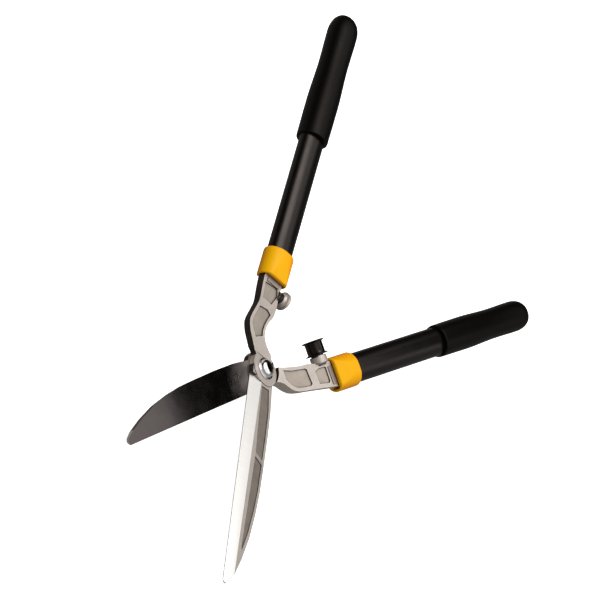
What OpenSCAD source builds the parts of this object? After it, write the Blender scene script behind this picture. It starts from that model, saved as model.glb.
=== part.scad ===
// Long-handled hedge shears: two forged halves that cross at one bolt, each with a cranked shank,
// an oval tube handle behind a moulded collar, a soft grip, and a rubber bumper between the shanks.
// Millimetres. Origin on the pivot axis, in the plane where the blades slide on each other.
// +Z runs along the pivot towards its domed head, -Y towards the blade tips, +Y towards the grips.
// The front half has its blade at +X and its handle at -X; the rear half is the other way round.

/* [Pose] */
// Half the angle between the two cutting edges as modelled
edge_half_angle = 21.8; // [14:0.2:28]
// Sideways lean of each handle from the +Y axis
handle_lean = 25.3; // [20:0.1:30]
// Rise of each handle out of the blade plane
handle_rise = 13.3; // [10:0.1:16]

/* [Blades] */
// Pivot to blade tip
blade_len = 250; // [235:1:265]
// Distance of the straight cutting edge from the pivot
edge_offset = 15.8; // [15:0.1:17]
// Blade thickness near the hub
blade_t_root = 5.4; // [5.2:0.1:5.8]
// Blade thickness at the tip
blade_t_tip = 4.4; // [4:0.1:4.8]
// Thickness left along the cutting edge
edge_t = 0.8; // [0.5:0.1:1.2]
// Width of the ground bevel
bevel_w = 13; // [11:0.5:14]
// Depth of the two recessed panels on each blade
panel_depth = 0.7; // [0.4:0.1:1]

/* [Hub and pivot] */
// Radius of the front half's hub
hub_r = 17.6; // [17:0.1:18]
// Thickness of each half at the hub
hub_t = 6; // [5.6:0.1:6.4]
// Gap between the two halves
lap_gap = 0.3; // [0.3:0.05:0.6]
// Radius of the shoulder that the front hub turns inside
lap_r = 19.5; // [19.2:0.1:20]
// Radius of the pivot bolt's plain shank
bolt_r = 5; // [4.5:0.1:5.5]
// Radius of the dished washer under the bolt's head
washer_r = 11.2; // [10.5:0.1:12]
// Radius of the bolt's domed head
head_r = 9.1; // [8.5:0.1:9.8]
// Height of the bolt's domed head
head_h = 4.4; // [3.5:0.1:5]
// Width of the pivot nut across its flats
nut_af = 16; // [15:0.5:17]

/* [Shanks] */
// Sideways distance from the pivot to the handle's axis line
base_x = 28.4; // [27:0.1:30]
// Height of the handle's axis above the blade plane, level with the pivot
base_z = 9.55; // [9:0.05:10]
// Thickness of each shank
shank_t = 8; // [7:0.2:8.4]
// Depth of the recessed pockets in each shank
pocket_depth = 1.2; // [0.8:0.1:1.6]
// Width of the tang that runs up inside the tube
tang_w = 18; // [16:0.5:19]
// Thickness of that tang
tang_t = 8; // [7:0.2:8.2]

/* [Bumper and striker] */
// Distance of the bumper and the striker along the handle
stop_s = 61; // [60:0.5:62]
// Radius of the bumper's socket
socket_r = 8.5; // [8:0.1:9]
// Radius of the bumper's flanges
flange_r = 11.2; // [10:0.1:12]
// Radius of the bumper's body
bumper_r = 8.9; // [7.5:0.1:9]
// Distance from the handle's axis to the bumper's face
bumper_top = 37.7; // [37:0.1:38]
// Radius of the striker
striker_r = 9.5; // [9:0.1:9.8]
// Distance from the handle's axis to the striker's face
striker_face = 24; // [23.5:0.1:24.2]

/* [Handles] */
// Where the collar starts along the handle
collar_s = 70.8; // [70:0.2:72]
// Length of the collar
collar_len = 30.5; // [29:0.5:38]
// Width of the collar across its widest part
collar_w = 35; // [34:0.2:36]
// Width of the oval tube
tube_w = 30; // [29.6:0.1:30.4]
// Depth of the oval tube
tube_d = 20.7; // [20.4:0.1:21]
// Wall of the tube
tube_wall = 1.6; // [1.2:0.1:2]
// Where the grip starts along the handle
grip_s = 234.6; // [225:0.5:245]
// Length of the grip
grip_len = 151; // [148:0.5:156]
// Widest width of the grip
grip_w = 34.6; // [33.6:0.1:36]
// How much wider than deep the grip is
grip_oval = 3.4; // [2.6:0.1:3.8]

/* [Hidden] */
half_gap = lap_gap / 2;
fit = 0.05;
tube_s = 80;
tube_end_s = grip_s + grip_len - 16;
grip_k = (grip_w - grip_oval) / 31.2;
pin_s = 92;
ramp_q = -0.5;
ramp_end_q = 69;
ramp_slope = (base_z + shank_t / 2 + ramp_end_q * tan(handle_rise) - hub_t) / (ramp_end_q - ramp_q);
bore_fit = 0.05;
washer_t = 1.5;
back_washer_t = 1.4;
spring_t = 2;
nut_h = 7;
back_z = -hub_t;
spring_z = back_z - back_washer_t - lap_gap - spring_t;
nut_z = spring_z - nut_h;
bolt_end_z = nut_z - 2;
fine = 96;
oval_fn = 72;

// Blade outline with the cutting edge parallel to the Y axis, and the spine's slow curve.
blade_outline = [
    [-17.2, -3], [-15.8, -20], [-edge_offset, -blade_len + 2.6], [-14.6, -blade_len + 0.6],
    [-12, -blade_len], [-9.2, -blade_len + 3], [-4.4, -236], [2.1, -217], [9, -190], [13.3, -161], [15.6, -136], [16.3, -111],
    [16.9, -70], [16.5, -43], [14.6, -22], [13.7, -9]
];
panel_near = [[-1.6, -21], [9.6, -19], [13.2, -43], [13.5, -70], [13.1, -100], [2.2, -97]];
panel_far = [[2, -101.5], [12.9, -105], [12.4, -134], [10.3, -158], [6, -186], [0.4, -208], [-0.8, -204],
    [0.6, -160]];

// Shank outlines in the handle's own plan: X towards the other handle, Y along the handle.
front_outline = [
    [-13.8, 69.5], [-14.2, 66], [-12.9, 59], [-11.4, 52.5], [-9.8, 46.5], [-9.3, 41.5], [-10.3, 36],
    [-11.5, 30], [-12.4, 25], [-12.2, 21], [-10.2, 17], [-6.8, 12.6], [-0.5, 6.8], [7.6, -0.6],
    [13, -6], [34, -6], [37, -3], [30, 5.9], [26, 7.4], [21.7, 9.8], [17, 13], [13.6, 17.3],
    [12.2, 21.5], [12, 27], [13.2, 31.5], [15.4, 36], [16.2, 40], [15.8, 46], [14.2, 52], [13.2, 60],
    [12.4, 66], [12.2, 69.5]
];
rear_outline = [
    [-12.4, 69.5], [-11.3, 64.5], [-9.2, 50.3], [-7.3, 37.1], [-6.1, 27], [-4.9, 21], [-2.9, 16.4],
    [0.9, 12.4], [6.7, 7.7], [9.6, 3], [11.3, -3], [14, -6], [34, -6], [34, -2], [26.5, 2.6],
    [23.4, 7.4], [21.6, 14], [19.8, 22.7], [18.2, 33], [18.2, 40.5], [17.4, 44.5], [15.8, 49], [14.8, 60],
    [14.2, 69.5]
];
front_pockets = [
    [[-6.3, 38.6], [5.1, 40], [11.4, 37.6], [9.6, 31.6], [8.6, 26], [9, 20], [11, 15.6], [2.6, 10.4],
        [-4.2, 15.6], [-8.4, 20], [-8.8, 25.4]],
    [[-10.4, 61.6], [6.4, 63.2], [9.6, 60.8], [11, 55.9], [7.6, 46.3], [-6.6, 47.2]]
];
rear_pockets = [
    [[19.4, 11.4], [16.4, 20.9], [14.6, 36.4], [13.4, 38.4], [-2.2, 39.6], [-3.9, 37.4], [-2.4, 25],
        [-0.6, 19.4], [3, 15.2], [9.8, 10.9]],
    [[8.8, 47.2], [10.6, 52.5], [10.4, 60.4], [9.6, 61.4], [-5, 61.2], [-6.6, 59.4], [-4.4, 47.6]]
];
grip_profile = [
    [0, 14.2], [0.7, 15.1], [2, 15.3], [15, 15.45], [36, 15.6], [52, 15.55], [66, 15.1], [79, 14.6],
    [91, 14.35], [106, 14.5], [116, 14.7], [125, 14.8], [132, 14.7], [137.6, 13.9], [142.8, 12.1],
    [147, 9.2], [149.6, 5.8], [150.7, 3], [151, 0]
];

// Height of the sloping front face of a shank at distance q along the plan of the handle.
function ramp_z(q) = hub_t + ramp_slope * (q - ramp_q);

module front_plan() {
    translate([-base_x, 0, 0]) rotate([0, 0, handle_lean]) children();
}

module rear_plan() {
    mirror([1, 0, 0]) front_plan() children();
}

// Puts Z along the handle's axis, X towards the other handle, with the start at distance s.
module on_handle(s) {
    translate([0, 0, base_z]) rotate([handle_rise, 0, 0]) translate([0, s, 0]) rotate([-90, 0, 0]) children();
}

// Puts Z towards the other handle, square to the handle's axis, at distance s.
module across_handle(s) {
    translate([0, 0, base_z]) rotate([handle_rise, 0, 0]) translate([0, s, 0]) rotate([0, 90, 0]) children();
}

module side_profile(points) {
    translate([-60, 0, 0]) rotate([90, 0, 90]) linear_extrude(120) polygon(points);
}

module blade_side(lift) {
    translate([-40, 0, 0]) rotate([90, 0, 90]) linear_extrude(80) polygon([
        [5, half_gap], [5, blade_t_root + lift], [-20, blade_t_root + lift],
        [-blade_len - 5, blade_t_tip + lift], [-blade_len - 5, half_gap]
    ]);
}

// One blade with its bevel and panels, cutting edge towards -X, sliding face down.
module blade() {
    difference() {
        intersection() {
            linear_extrude(12) polygon(blade_outline);
            blade_side(0);
        }
        translate([0, -14, 0]) rotate([90, 0, 0]) linear_extrude(blade_len) polygon([
            [-edge_offset - 4, edge_t], [-edge_offset, edge_t],
            [-edge_offset + bevel_w * 2, edge_t + (blade_t_root - edge_t) * 2], [-edge_offset - 4, 20]
        ]);
        difference() {
            translate([0, 0, 1]) linear_extrude(12) {
                polygon(panel_near);
                polygon(panel_far);
            }
            blade_side(-panel_depth);
        }
    }
}

module shank(outline, pockets, bottom) {
    difference() {
        intersection() {
            translate([0, 0, -20]) linear_extrude(70) polygon(outline);
            side_profile(concat(
                [[ramp_end_q + 1, ramp_z(ramp_end_q + 1)], [ramp_q, hub_t], [-40, hub_t]], bottom
            ));
        }
        difference() {
            linear_extrude(60) for (p = pockets) polygon(p);
            side_profile([
                [90, ramp_z(90) - pocket_depth], [-40, ramp_z(-40) - pocket_depth], [-40, -60], [90, -60]
            ]);
        }
        // The end is square to the tube, so that it seats flat in the collar.
        on_handle(collar_s + 0.5) translate([-40, -40, 0]) cube(80);
    }
}

module tang() {
    on_handle(collar_s - 5) translate([-tang_w / 2, -tang_t / 2, 0]) cube([tang_w, tang_t, 75]);
}

module front_forging() {
    rotate([0, 0, edge_half_angle]) blade();
    translate([0, 0, half_gap]) cylinder(r = hub_r, h = hub_t - half_gap, $fn = fine);
    front_plan() {
        shank(front_outline, front_pockets, [
            [-40, half_gap], [ramp_q + 3, half_gap], [ramp_end_q + 1, ramp_z(ramp_end_q + 1) - shank_t - 0.4]
        ]);
        tang();
        across_handle(stop_s) {
            translate([0, 0, 11.5]) cylinder(r = 5.4, h = striker_face - 13, $fn = 48);
            translate([0, 0, striker_face - 3]) cylinder(r = striker_r, h = 3, $fn = fine);
        }
    }
}

module rear_forging() {
    rotate([0, 180, 0]) {
        rotate([0, 0, edge_half_angle]) blade();
        translate([0, 0, half_gap]) cylinder(r = lap_r, h = hub_t - half_gap, $fn = fine);
    }
    difference() {
        rear_plan() shank(rear_outline, rear_pockets, [
            [-40, -hub_t], [-2, -hub_t], [10, -1.5], [22, ramp_z(22) - shank_t - 0.4],
            [ramp_end_q + 1, ramp_z(ramp_end_q + 1) - shank_t - 0.4]
        ]);
        translate([0, 0, -half_gap]) cylinder(r = lap_r, h = 40, $fn = fine);
    }
    rear_plan() {
        tang();
        across_handle(stop_s) difference() {
            union() {
                translate([0, 0, 12.6]) cylinder(r = 5.6, h = 3.4, $fn = 48);
                translate([0, 0, 14.9]) cylinder(r = socket_r, h = 7, $fn = fine);
            }
            translate([0, 0, 16]) cylinder(r = 3 + fit, h = 20, $fn = 48);
        }
    }
}

module front_blade() {
    color("silver") difference() {
        front_forging();
        translate([0, 0, -1]) cylinder(r = bolt_r + 0.02, h = 12, $fn = fine);
        front_plan() on_handle(pin_s) rotate([90, 0, 0]) translate([0, 0, -20]) cylinder(r = 3.02, h = 40, $fn = 48);
    }
}

module rear_blade() {
    color("silver") difference() {
        rear_forging();
        translate([0, 0, -12]) cylinder(r = bolt_r + bore_fit, h = 20, $fn = fine);
        rear_plan() on_handle(pin_s) rotate([90, 0, 0]) translate([0, 0, -20]) cylinder(r = 3.02, h = 40, $fn = 48);
    }
}

module oval(w, d) {
    scale([1, d / w]) circle(d = w, $fn = oval_fn);
}

module collar() {
    difference() {
        on_handle(collar_s) scale([1, 0.78, 1]) rotate_extrude($fn = fine) polygon([
            [0, 0], [collar_w / 2 - 1.6, 0], [collar_w / 2 - 0.6, 0.8], [collar_w / 2 - 0.2, 3],
            [collar_w / 2, collar_len / 2], [collar_w / 2 - 0.1, collar_len - 3.2],
            [collar_w / 2 - 0.6, collar_len - 1.2], [collar_w / 2 - 1.6, collar_len - 0.2],
            [collar_w / 2 - 2, collar_len], [0, collar_len]
        ]);
        on_handle(tube_s) linear_extrude(collar_len) oval(tube_w + 2 * fit, tube_d + 2 * fit);
        on_handle(collar_s - 1) translate([-tang_w / 2 - 0.1, -tang_t / 2 - 0.1, 0])
            cube([tang_w + 0.2, tang_t + 0.2, 20]);
        // Flat facets that slope in towards the shank, front and back.
        for (side = [-1, 1]) on_handle(collar_s + 17) rotate([side * 12, 0, 0])
            translate([-30, side > 0 ? 13.1 : -33.1, -40]) cube([60, 20, 60]);
        // The shank's broad end seats a little way into the collar.
        on_handle(collar_s - 1) translate([-14.6, -4.7, 0]) cube([29.2, 9.4, 1.6]);
    }
}

module tube() {
    on_handle(tube_s) difference() {
        linear_extrude(tube_end_s - tube_s) difference() {
            oval(tube_w, tube_d);
            oval(tube_w - 2 * tube_wall, tube_d - 2 * tube_wall);
        }
        translate([0, 20, pin_s - tube_s]) rotate([90, 0, 0]) cylinder(r = 3.02, h = 40, $fn = 48);
    }
}

module grip() {
    difference() {
        // Two turned shapes side by side make the slightly oval section.
        union() for (side = [-1, 1]) on_handle(grip_s) translate([side * grip_oval / 2, 0, 0])
            rotate_extrude($fn = fine) polygon(concat(
                [[0, 0]], [for (p = grip_profile) [p[1] * grip_k, p[0] * grip_len / 151]]
            ));
        on_handle(grip_s - 1) linear_extrude(tube_end_s - grip_s + 1.2) oval(tube_w + 2 * fit, tube_d + 2 * fit);
    }
}

module tube_plug() {
    on_handle(tube_end_s - 14) linear_extrude(14)
        oval(tube_w - 2 * tube_wall - 2 * fit, tube_d - 2 * tube_wall - 2 * fit);
}

module tang_liner() {
    on_handle(tube_s + 1) difference() {
        linear_extrude(54) difference() {
            oval(tube_w - 2 * tube_wall - 2 * fit, tube_d - 2 * tube_wall - 2 * fit);
            square([tang_w + 0.1, tang_t + 0.1], center = true);
        }
        translate([0, 20, pin_s - tube_s - 1]) rotate([90, 0, 0]) cylinder(r = 3.02, h = 40, $fn = 48);
    }
}

module tang_pin() {
    on_handle(pin_s) rotate([90, 0, 0]) translate([0, 0, -tube_d / 2 + 0.1])
        cylinder(r = 3, h = tube_d - 0.2, $fn = 48);
}

module front_collar() { color("orange") front_plan() collar(); }
module rear_collar() { color("orange") rear_plan() collar(); }
module front_tube() { color("dimgray") front_plan() tube(); }
module rear_tube() { color("dimgray") rear_plan() tube(); }
module front_grip() { color([0.12, 0.12, 0.12]) front_plan() grip(); }
module rear_grip() { color([0.12, 0.12, 0.12]) rear_plan() grip(); }
module front_tube_plug() { color("gray") front_plan() tube_plug(); }
module rear_tube_plug() { color("gray") rear_plan() tube_plug(); }
module front_tang_liner() { color("tan") front_plan() tang_liner(); }
module rear_tang_liner() { color("tan") rear_plan() tang_liner(); }
module front_tang_pin() { color("silver") front_plan() tang_pin(); }
module rear_tang_pin() { color("silver") rear_plan() tang_pin(); }

module bumper() {
    color([0.1, 0.1, 0.1]) rear_plan() across_handle(stop_s) rotate_extrude($fn = fine) polygon([
        [3.1, 22], [6.4, 22], [6.4, 23.2], [flange_r, 23.2], [flange_r + 0.2, 24.1], [bumper_r, 24.6],
        [bumper_r, bumper_top - 2.2], [bumper_r + 0.6, bumper_top - 1.6], [flange_r, bumper_top - 1.2],
        [flange_r, bumper_top - 0.3], [flange_r - 0.4, bumper_top], [0, bumper_top], [0, 32], [3.1, 32]
    ]);
}

module bumper_stud() {
    color("silver") rear_plan() across_handle(stop_s) translate([0, 0, 16.1]) cylinder(r = 3, h = 15.6, $fn = 48);
}

module pivot_bolt() {
    color("silver") rotate_extrude($fn = fine) polygon([
        [0, bolt_end_z], [bolt_r - 0.8, bolt_end_z], [bolt_r, bolt_end_z + 0.8],
        [bolt_r, hub_t + washer_t], [head_r - 0.5, hub_t + washer_t], [head_r, hub_t + washer_t + 0.5],
        [head_r, hub_t + washer_t + 1.1], [head_r - 1, hub_t + washer_t + 2.2],
        [head_r - 2.6, hub_t + washer_t + 3.2], [head_r - 4.6, hub_t + washer_t + 3.9],
        [head_r - 6.8, hub_t + washer_t + 4.3], [0, hub_t + washer_t + head_h]
    ]);
}

module pivot_front_washer() {
    color("silver") rotate_extrude($fn = fine) polygon([
        [bolt_r + 0.2, hub_t], [washer_r - 0.3, hub_t], [washer_r, hub_t + 0.4],
        [washer_r - 0.5, hub_t + washer_t], [bolt_r + 0.2, hub_t + washer_t]
    ]);
}

module pivot_back_washer() {
    color("silver") difference() {
        translate([0, 0, back_z - back_washer_t]) cylinder(r = 11, h = back_washer_t, $fn = fine);
        translate([0, 0, back_z - 3]) cylinder(r = bolt_r + 0.4, h = 4, $fn = fine);
    }
}

module pivot_spring_washer() {
    color("silver") difference() {
        translate([0, 0, spring_z]) cylinder(r = 8.4, h = spring_t, $fn = fine);
        translate([0, 0, spring_z - 1]) cylinder(r = bolt_r + 0.2, h = 4, $fn = fine);
        translate([0, -0.6, spring_z - 1]) rotate([0, 18, 0]) cube([12, 1.2, 6], center = false);
    }
}

module pivot_nut() {
    color("silver") difference() {
        intersection() {
            translate([0, 0, nut_z]) cylinder(d = nut_af / cos(30), h = nut_h, $fn = 6);
            translate([0, 0, nut_z]) cylinder(r1 = nut_af / 2 + 0.3, r2 = nut_af / 2 + 4.3, h = nut_h, $fn = fine);
        }
        translate([0, 0, nut_z - 1]) cylinder(r = bolt_r + 0.02, h = nut_h + 2, $fn = fine);
    }
}

front_blade();
rear_blade();
front_collar();
rear_collar();
front_tube();
rear_tube();
front_grip();
rear_grip();
front_tube_plug();
rear_tube_plug();
front_tang_liner();
rear_tang_liner();
front_tang_pin();
rear_tang_pin();
bumper();
bumper_stud();
pivot_bolt();
pivot_front_washer();
pivot_back_washer();
pivot_spring_washer();
pivot_nut();
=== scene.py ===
"""Looks for a pair of long-handled hedge shears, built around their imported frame.

The row frame is used throughout, in metres: the origin is on the pivot axis in the plane where the blades
slide, +Z runs towards the pivot's domed head, -Y towards the blade tips and +Y towards the grips.
"""

import logging
import math
from collections.abc import Sequence
from dataclasses import dataclass, field
from enum import Enum

import bmesh
import bpy
from mathutils import Matrix, Vector


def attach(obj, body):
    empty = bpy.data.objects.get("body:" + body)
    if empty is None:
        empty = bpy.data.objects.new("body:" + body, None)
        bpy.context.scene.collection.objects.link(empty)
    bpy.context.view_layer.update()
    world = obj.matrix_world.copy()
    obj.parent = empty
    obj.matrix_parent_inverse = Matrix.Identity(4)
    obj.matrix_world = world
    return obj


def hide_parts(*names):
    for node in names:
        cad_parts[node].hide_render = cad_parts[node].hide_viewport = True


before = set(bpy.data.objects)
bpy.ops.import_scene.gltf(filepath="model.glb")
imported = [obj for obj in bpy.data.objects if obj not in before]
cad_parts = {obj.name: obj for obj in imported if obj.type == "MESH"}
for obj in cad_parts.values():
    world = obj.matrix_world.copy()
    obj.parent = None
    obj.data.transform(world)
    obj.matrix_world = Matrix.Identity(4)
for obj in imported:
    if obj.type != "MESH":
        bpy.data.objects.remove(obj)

log = logging.getLogger("hedge_shears")
MM = 0.001

Colour = tuple[float, float, float]
Ring = list[Vector]
Pair = tuple[float, float]
Place = tuple[float, float, float]

# The first two colours are painted shade for inner corners; the third is edge wear with a painted highlight.
CORNER_SHADE_BROWN: Colour = (0.05, 0.035, 0.028)
CORNER_SHADE_BLACK: Colour = (0.03, 0.026, 0.024)
BRIGHT_EDGE: Colour = (0.9, 0.9, 0.9)

BLADE_LEAN_DEG = 21.8  # half the angle between the cutting edges at rest
COLLAR_POINTS = 128  # points in each ring of a collar
SHY = 0.02  # how far the grips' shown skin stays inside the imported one, in millimetres


class Half(Enum):
    """The two crossing halves. The value is the side of the handle: -1 is -X, 1 is +X."""

    FRONT = -1
    REAR = 1

    @property
    def body(self) -> str:
        """Name of the moving body."""
        return "front_half" if self is Half.FRONT else "rear_half"

    @property
    def word(self) -> str:
        """Prefix of the node and piece names."""
        return "front" if self is Half.FRONT else "rear"


class ForgingFace(Enum):
    """Which finish a face of a forging gets. The value is its material index."""

    SKIN = 0
    # Walls in painted shade.
    WALL = 1
    BEVEL = 2
    SLIDING = 3
    PANEL = 4
    POCKET = 5
    EDGE = 6


# ---------------------------------------------------------------- shader groups


def new_group(name: str, inputs: dict[str, float], outputs: dict[str, str]) -> bpy.types.NodeTree:
    """Makes an empty shader node group with named sockets.

    Args:
        name: The group's name.
        inputs: Float input names and their defaults.
        outputs: Output names and their socket types, without the NodeSocket prefix.

    Returns:
        The group's tree, holding its input and output nodes.
    """
    tree = bpy.data.node_groups.new(name, "ShaderNodeTree")
    for key, value in inputs.items():
        socket = tree.interface.new_socket(key, in_out="INPUT", socket_type="NodeSocketFloat")
        socket.default_value = value
    for key, kind in outputs.items():
        tree.interface.new_socket(key, in_out="OUTPUT", socket_type="NodeSocket" + kind)
    tree.nodes.new("NodeGroupInput").name = "In"
    tree.nodes.new("NodeGroupOutput").name = "Out"
    return tree


class NodeWriter:
    """Adds and links nodes in one tree."""

    def __init__(self, tree: bpy.types.NodeTree) -> None:
        """Keeps the tree that nodes are added to."""
        self.tree = tree

    def add(self, kind: str, settings: dict[str, object] | None = None, **sockets: object) -> bpy.types.Node:
        """Adds one node.

        Args:
            kind: The node's type, without the ShaderNode prefix.
            settings: Properties set on the node itself.
            sockets: Values or output sockets, by input name with underscores for spaces, or by _index.

        Returns:
            The new node.
        """
        node = self.tree.nodes.new("ShaderNode" + kind)
        for key, value in (settings or {}).items():
            setattr(node, key, value)
        for key, value in sockets.items():
            name = int(key[1:]) if key[0] == "_" else key.replace("_", " ")
            self.feed(node.inputs[name], value)
        return node

    def feed(self, socket: bpy.types.NodeSocket, value: object) -> None:
        """Links an output socket to an input, or sets the input's value.

        Args:
            socket: The input.
            value: An output socket, or a value for the input.
        """
        if isinstance(value, bpy.types.NodeSocket):
            self.tree.links.new(value, socket)
        else:
            socket.default_value = value

    def maths(self, operation: str, a: object, b: object = 0.0, clamp: bool = False) -> bpy.types.NodeSocket:
        """Adds a Math node and returns its output."""
        return self.add("Math", {"operation": operation, "use_clamp": clamp}, _0=a, _1=b).outputs[0]

    def blend(self, factor: object, a: object, b: object) -> bpy.types.NodeSocket:
        """Mixes two colours.

        Args:
            factor: The share of the second colour, 0 to 1.
            a: The first colour.
            b: The second colour.

        Returns:
            The mixed colour's output socket.
        """
        node = self.add("Mix", {"data_type": "RGBA"})
        self.feed(node.inputs[0], factor)
        self.feed(node.inputs[6], a)
        self.feed(node.inputs[7], b)
        return node.outputs[2]

    def spread(
        self, value: object, low: float, high: float, to_low: float, to_high: float
    ) -> bpy.types.NodeSocket:
        """Maps a value from one range to another, clamped, and returns the output."""
        return self.add("MapRange", None, _0=value, _1=low, _2=high, _3=to_low, _4=to_high).outputs[0]


class Groups:
    """The shader groups that several finishes share, each built once."""

    def __init__(self) -> None:
        """Builds every group."""
        self.edge_wear_and_highlight = self._edge_wear_and_highlight()
        self.cavity = self._corner_shade()
        self.grain = self._grain()
        self.mottle = self._mottle()
        self.strokes = self._strokes()

    @staticmethod
    def _edge_wear_and_highlight() -> bpy.types.NodeTree:
        """A mask that is 1 along corners and 0 on open faces, for wear and painted highlights there.

        Returns:
            The group's tree.
        """
        tree = new_group("edge_wear_and_highlight", {"Radius": 0.0008, "Amount": 1.0}, {"Mask": "Float"})
        w = NodeWriter(tree)
        inner = tree.nodes["In"].outputs
        bevel = w.add("Bevel", {"samples": 4}, Radius=inner["Radius"])
        plain = w.add("NewGeometry")
        match = w.add(
            "VectorMath", {"operation": "DOT_PRODUCT"}, _0=bevel.outputs[0], _1=plain.outputs["Normal"]
        )
        turned = w.spread(match.outputs["Value"], 0.998, 0.93, 0.0, 1.0)
        noise = w.add("TexNoise", None, Vector=w.add("TexCoord").outputs["Object"], Scale=420.0, Detail=3.0)
        broken = w.spread(noise.outputs[0], 0.35, 0.6, 0.35, 1.0)
        mask = w.maths("MULTIPLY", w.maths("MULTIPLY", turned, broken), inner["Amount"], True)
        w.feed(tree.nodes["Out"].inputs["Mask"], mask)
        return tree

    @staticmethod
    def _corner_shade() -> bpy.types.NodeTree:
        """A mask that is 1 in tight inner corners, where painted shade goes.

        Returns:
            The group's tree.
        """
        tree = new_group("cavity", {"Reach": 0.0014, "Amount": 1.0}, {"Mask": "Float"})
        w = NodeWriter(tree)
        inner = tree.nodes["In"].outputs
        hollow = w.add("AmbientOcclusion", {"samples": 8, "only_local": True}, Distance=inner["Reach"])
        closed_in = w.spread(hollow.outputs["AO"], 0.93, 0.66, 0.0, 1.0)
        mask = w.maths("MULTIPLY", closed_in, inner["Amount"], True)
        w.feed(tree.nodes["Out"].inputs["Mask"], mask)
        return tree

    @staticmethod
    def _grain() -> bpy.types.NodeTree:
        """A fine, even height for blasted metal and moulded rubber.

        Returns:
            The group's tree.
        """
        tree = new_group("fine_grain", {"Scale": 2500.0, "Coarse": 0.3}, {"Height": "Float"})
        w = NodeWriter(tree)
        inner = tree.nodes["In"].outputs
        place = w.add("TexCoord").outputs["Object"]
        fine = w.add("TexNoise", None, Vector=place, Scale=inner["Scale"], Detail=2.0, Roughness=0.6)
        slow_scale = w.maths("MULTIPLY", inner["Scale"], 0.12)
        slow = w.add("TexNoise", None, Vector=place, Scale=slow_scale, Detail=3.0)
        height = w.maths("ADD", fine.outputs[0], w.maths("MULTIPLY", slow.outputs[0], inner["Coarse"]))
        w.feed(tree.nodes["Out"].inputs["Height"], height)
        return tree

    @staticmethod
    def _mottle() -> bpy.types.NodeTree:
        """Soft patches, for uneven tone and roughness.

        Returns:
            The group's tree.
        """
        tree = new_group("soft_patches", {"Scale": 45.0, "Contrast": 1.0}, {"Mask": "Float"})
        w = NodeWriter(tree)
        inner = tree.nodes["In"].outputs
        place = w.add("TexCoord").outputs["Object"]
        noise = w.add("TexNoise", None, Vector=place, Scale=inner["Scale"], Detail=5.0, Roughness=0.62)
        centred = w.maths("MULTIPLY", w.maths("SUBTRACT", noise.outputs[0], 0.5), inner["Contrast"])
        w.feed(tree.nodes["Out"].inputs["Mask"], w.maths("ADD", w.maths("MULTIPLY", centred, 3.0), 0.5, True))
        return tree

    @staticmethod
    def _strokes() -> bpy.types.NodeTree:
        """Fine parallel lines left by grinding, along a direction in the blade's plane.

        Returns:
            The group's tree.
        """
        inputs = {"Angle": 0.0, "Pitch": 1800.0, "Length": 30.0}
        tree = new_group("grinding_strokes", inputs, {"Height": "Float", "Mask": "Float"})
        w = NodeWriter(tree)
        inner = tree.nodes["In"].outputs
        place = w.add("TexCoord").outputs["Object"]
        turned = w.add("VectorRotate", {"rotation_type": "Z_AXIS"}, Vector=place, Angle=inner["Angle"])
        axes = w.add("SeparateXYZ", None, _0=turned.outputs[0])
        across = w.maths("MULTIPLY", axes.outputs[0], inner["Length"])
        along = w.maths("MULTIPLY", axes.outputs[1], inner["Pitch"])
        stretched = w.add("CombineXYZ", None, X=across, Y=along, Z=axes.outputs[2])
        noise = w.add("TexNoise", None, Vector=stretched.outputs[0], Scale=1.0, Detail=3.0, Roughness=0.7)
        w.feed(tree.nodes["Out"].inputs["Height"], noise.outputs[0])
        w.feed(tree.nodes["Out"].inputs["Mask"], w.spread(noise.outputs[0], 0.35, 0.65, 0.0, 1.0))
        return tree


# ---------------------------------------------------------------- finishes


class Shader(NodeWriter):
    """One material with a Principled shader to feed."""

    def __init__(self, name: str, **constants: object) -> None:
        """Makes the material.

        Args:
            name: The material's name.
            constants: Values set directly on the Principled shader's sockets.
        """
        self.material = bpy.data.materials.new(name)
        self.material.use_nodes = True
        super().__init__(self.material.node_tree)
        self.surface = self.tree.nodes["Principled BSDF"]
        for key, value in constants.items():
            self.surface.inputs[key.replace("_", " ")].default_value = value

    def place(self, group: bpy.types.NodeTree, **inputs: object) -> bpy.types.Node:
        """Places a shared group in the material, with its own values.

        Args:
            group: The group's tree.
            inputs: Values or output sockets for the group's inputs, by name.

        Returns:
            The group's node in this material.
        """
        node = self.tree.nodes.new("ShaderNodeGroup")
        node.node_tree = group
        for key, value in inputs.items():
            self.feed(node.inputs[key], value)
        return node

    def set(self, socket: str, value: object) -> None:
        """Feeds one of the Principled shader's sockets."""
        self.feed(self.surface.inputs[socket], value)

    def bump(self, height: bpy.types.NodeSocket, strength: float, depth: float) -> None:
        """Feeds the normal from a height.

        Args:
            height: The height, about 0 to 1.
            strength: The Bump node's strength.
            depth: The height's real size, in metres.
        """
        node = self.add("Bump", None, Strength=strength, Distance=depth, Height=height)
        self.set("Normal", node.outputs[0])


def rgba(colour: Colour) -> tuple[float, float, float, float]:
    """The colour with an alpha of 1."""
    return (*colour, 1.0)


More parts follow.
